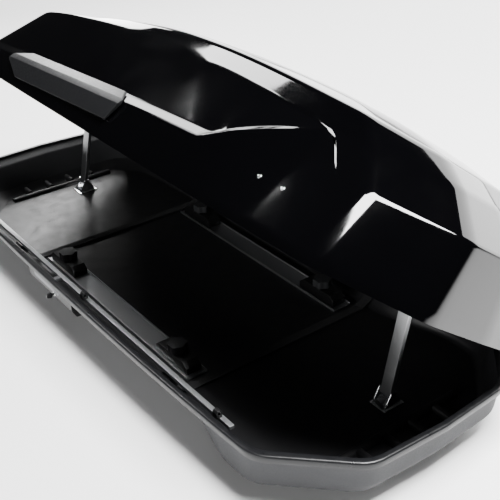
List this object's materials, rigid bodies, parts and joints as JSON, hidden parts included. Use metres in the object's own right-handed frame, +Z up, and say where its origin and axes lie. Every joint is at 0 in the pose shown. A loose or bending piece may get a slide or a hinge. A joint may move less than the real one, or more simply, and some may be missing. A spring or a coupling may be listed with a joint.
{
  "type": "roof cargo box",
  "caption": "Long hard-shell car roof box with a side-opening gloss lid held up by two lifters, latches and crossbar clamps.",
  "frame": {"origin": "middle of the flat underside of the base floor, between the two crossbars", "axes": "+X along the box towards the nose, -Y towards the side that opens, +Z up; the box rests on crossbars along Y"},
  "size_m": [2.335, 1.028, 0.8922],
  "materials": {
    "lid_gloss": "deep gloss black",
    "base_texture": "fine leather-grain moulded grey-black",
    "handle_trim": "matte dark grey",
    "moulded_black": "satin black, moulded",
    "knob_plastic": "satin grey",
    "key_plastic": "satin black",
    "lever_grey": "silver-grey paint",
    "lifter_grey": "satin anodised",
    "bright_steel": "bright plated",
    "rail_metal": "mill finish",
    "webbing": "woven polyester"
  },
  "bodies": {
    "base": {"base_shell": "base_texture", "clamp_rail_near": "rail_metal", "clamp_rail_far": "rail_metal", "lock_housing_near": "moulded_black", "lock_housing_far": "moulded_black", "clamp_housing_front_near": "moulded_black", "clamp_housing_front_far": "moulded_black", "clamp_housing_rear_near": "moulded_black", "clamp_housing_rear_far": "moulded_black", "strap_front": "webbing", "strap_buckle_front": "moulded_black", "strap_anchor_front": "moulded_black", "lifter_foot_front": "bright_steel", "strap_rear": "webbing", "strap_buckle_rear": "moulded_black", "strap_anchor_rear": "moulded_black", "lifter_foot_rear": "bright_steel"},
    "lid": {"lid_shell": "lid_gloss", "lid_edge_rail_near": "rail_metal", "lid_edge_rail_far": "rail_metal", "lid_handle_near": "handle_trim", "lid_handle_far": "handle_trim", "lid_pin_near_front": "bright_steel", "lid_pin_near_middle": "bright_steel", "lid_pin_near_rear": "bright_steel", "lid_pin_far_front": "bright_steel", "lid_pin_far_middle": "bright_steel", "lid_pin_far_rear": "bright_steel", "lifter_lid_plate_front": "moulded_black", "lifter_lid_plate_rear": "moulded_black"},
    "latch_near": {"slide_lever_near": "lever_grey", "pull_rod_near": "rail_metal", "latch_eye_near_front": "moulded_black", "latch_eye_near_middle": "moulded_black", "latch_eye_near_rear": "moulded_black"},
    "lock_near": {"lock_cylinder_near": "bright_steel", "key": "key_plastic"},
    "latch_far": {"slide_lever_far": "lever_grey", "pull_rod_far": "rail_metal", "latch_eye_far_front": "moulded_black", "latch_eye_far_middle": "moulded_black", "latch_eye_far_rear": "moulded_black"},
    "lock_far": {"lock_cylinder_far": "bright_steel"},
    "knob_front_near": {"clamp_knob_front_near": "knob_plastic"},
    "jaw_front_front_near": {"clamp_jaw_front_front_near": "moulded_black"},
    "jaw_rear_front_near": {"clamp_jaw_rear_front_near": "moulded_black"},
    "knob_front_far": {"clamp_knob_front_far": "knob_plastic"},
    "jaw_front_front_far": {"clamp_jaw_front_front_far": "moulded_black"},
    "jaw_rear_front_far": {"clamp_jaw_rear_front_far": "moulded_black"},
    "knob_rear_near": {"clamp_knob_rear_near": "knob_plastic"},
    "jaw_front_rear_near": {"clamp_jaw_front_rear_near": "moulded_black"},
    "jaw_rear_rear_near": {"clamp_jaw_rear_rear_near": "moulded_black"},
    "knob_rear_far": {"clamp_knob_rear_far": "knob_plastic"},
    "jaw_front_rear_far": {"clamp_jaw_front_rear_far": "moulded_black"},
    "jaw_rear_rear_far": {"clamp_jaw_rear_rear_far": "moulded_black"},
    "sleeve_front": {"lifter_sleeve_front": "lifter_grey"},
    "blade_front": {"lifter_blade_front": "bright_steel"},
    "sleeve_rear": {"lifter_sleeve_rear": "lifter_grey"},
    "blade_rear": {"lifter_blade_rear": "bright_steel"}
  },
  "joints": [
    {"name": "lid_hinge", "type": "hinge", "parent": "base", "child": "lid", "pos_m": [0, 0.412, 0.122], "axis": [-1, 0, 0], "range_deg": [-35, 0], "stiffness_Nm_per_rad": 13, "springref_deg": 177.62},
    {"name": "latch_slide_near", "type": "slide", "parent": "base", "child": "latch_near", "axis": [1, 0, 0], "range_m": [-0.024, 0]},
    {"name": "lock_turn_near", "type": "hinge", "parent": "base", "child": "lock_near", "pos_m": [-0.116, -0.447, 0.077], "axis": [0, 1, 0], "range_deg": [0, 90]},
    {"name": "latch_slide_far", "type": "slide", "parent": "base", "child": "latch_far", "axis": [1, 0, 0], "range_m": [0, 0.024]},
    {"name": "lock_turn_far", "type": "hinge", "parent": "base", "child": "lock_far", "pos_m": [-0.116, 0.447, 0.077], "axis": [0, -1, 0], "range_deg": [0, 90]},
    {"name": "knob_turn_front_near", "type": "hinge", "parent": "base", "child": "knob_front_near", "pos_m": [0.35, -0.285, 0.055], "axis": [0, 0, -1], "range_deg": [0, 720]},
    {"name": "jaw_swing_front_front_near", "type": "hinge", "parent": "base", "child": "jaw_front_front_near", "pos_m": [0.402, -0.285, 0.023], "axis": [0, -1, 0], "range_deg": [0, 24]},
    {"name": "jaw_swing_rear_front_near", "type": "hinge", "parent": "base", "child": "jaw_rear_front_near", "pos_m": [0.298, -0.285, 0.023], "axis": [0, 1, 0], "range_deg": [0, 24]},
    {"name": "knob_turn_front_far", "type": "hinge", "parent": "base", "child": "knob_front_far", "pos_m": [0.35, 0.285, 0.055], "axis": [0, 0, -1], "range_deg": [0, 720]},
    {"name": "jaw_swing_front_front_far", "type": "hinge", "parent": "base", "child": "jaw_front_front_far", "pos_m": [0.402, 0.285, 0.023], "axis": [0, -1, 0], "range_deg": [0, 24]},
    {"name": "jaw_swing_rear_front_far", "type": "hinge", "parent": "base", "child": "jaw_rear_front_far", "pos_m": [0.298, 0.285, 0.023], "axis": [0, 1, 0], "range_deg": [0, 24]},
    {"name": "knob_turn_rear_near", "type": "hinge", "parent": "base", "child": "knob_rear_near", "pos_m": [-0.35, -0.285, 0.055], "axis": [0, 0, -1], "range_deg": [0, 720]},
    {"name": "jaw_swing_front_rear_near", "type": "hinge", "parent": "base", "child": "jaw_front_rear_near", "pos_m": [-0.298, -0.285, 0.023], "axis": [0, -1, 0], "range_deg": [0, 24]},
    {"name": "jaw_swing_rear_rear_near", "type": "hinge", "parent": "base", "child": "jaw_rear_rear_near", "pos_m": [-0.402, -0.285, 0.023], "axis": [0, 1, 0], "range_deg": [0, 24]},
    {"name": "knob_turn_rear_far", "type": "hinge", "parent": "base", "child": "knob_rear_far", "pos_m": [-0.35, 0.285, 0.055], "axis": [0, 0, -1], "range_deg": [0, 720]},
    {"name": "jaw_swing_front_rear_far", "type": "hinge", "parent": "base", "child": "jaw_front_rear_far", "pos_m": [-0.298, 0.285, 0.023], "axis": [0, -1, 0], "range_deg": [0, 24]},
    {"name": "jaw_swing_rear_rear_far", "type": "hinge", "parent": "base", "child": "jaw_rear_rear_far", "pos_m": [-0.402, 0.285, 0.023], "axis": [0, 1, 0], "range_deg": [0, 24]},
    {"name": "lifter_swing_front", "type": "hinge", "parent": "base", "child": "sleeve_front", "pos_m": [0.88, 0.06, 0.045], "axis": [-1, 0, 0], "range_deg": [-31.3, 0]},
    {"name": "lifter_reach_front", "type": "slide", "parent": "sleeve_front", "child": "blade_front", "axis": [0, 0.2054, 0.9787], "range_m": [-0.2155, 0]},
    {"name": "lifter_swing_rear", "type": "hinge", "parent": "base", "child": "sleeve_rear", "pos_m": [-0.88, 0.06, 0.045], "axis": [-1, 0, 0], "range_deg": [-31.3, 0]},
    {"name": "lifter_reach_rear", "type": "slide", "parent": "sleeve_rear", "child": "blade_rear", "axis": [0, 0.2054, 0.9787], "range_m": [-0.2155, 0]}
  ],
  "couplings": [
    {"joint": "jaw_swing_front_front_near", "follows": "knob_turn_front_near", "ratio": 0.033333},
    {"joint": "jaw_swing_rear_front_near", "follows": "knob_turn_front_near", "ratio": 0.033333},
    {"joint": "jaw_swing_front_front_far", "follows": "knob_turn_front_far", "ratio": 0.033333},
    {"joint": "jaw_swing_rear_front_far", "follows": "knob_turn_front_far", "ratio": 0.033333},
    {"joint": "jaw_swing_front_rear_near", "follows": "knob_turn_rear_near", "ratio": 0.033333},
    {"joint": "jaw_swing_rear_rear_near", "follows": "knob_turn_rear_near", "ratio": 0.033333},
    {"joint": "jaw_swing_front_rear_far", "follows": "knob_turn_rear_far", "ratio": 0.033333},
    {"joint": "jaw_swing_rear_rear_far", "follows": "knob_turn_rear_far", "ratio": 0.033333},
    {"joint": "lifter_swing_front", "follows": "lid_hinge", "ratio": 0.8867},
    {"joint": "lifter_reach_front", "follows": "lid_hinge", "m_per_rad": 0.3509},
    {"joint": "lifter_swing_rear", "follows": "lid_hinge", "ratio": 0.8867},
    {"joint": "lifter_reach_rear", "follows": "lid_hinge", "m_per_rad": 0.3509}
  ]
}
